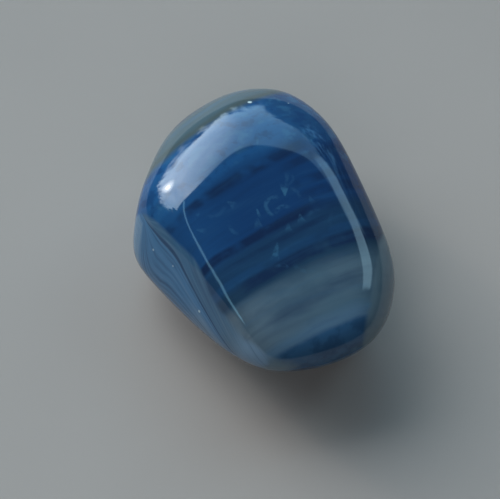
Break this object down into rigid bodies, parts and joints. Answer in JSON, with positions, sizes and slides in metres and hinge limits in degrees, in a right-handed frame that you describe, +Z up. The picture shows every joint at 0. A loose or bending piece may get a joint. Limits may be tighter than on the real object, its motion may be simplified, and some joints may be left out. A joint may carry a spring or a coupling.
{
  "type": "agate",
  "caption": "Tumbled and polished piece of blue banded agate: a softly angular stone with a broad sloping top, rounded edges and a flat underside that it rests on.",
  "frame": {"origin": "middle of the bounding box, on the surface that the stone rests on", "axes": "+Z up from the flat rest, along the stone's shortest extent; +Y away from the viewer of the picture, along its longest extent; +X to that viewer's right"},
  "size_m": [0.031, 0.0394, 0.0183],
  "materials": {
    "agate": "polished, glassy gloss over deep blue translucent bands"
  },
  "bodies": {
    "root": {"agate": "agate"}
  },
  "joints": []
}
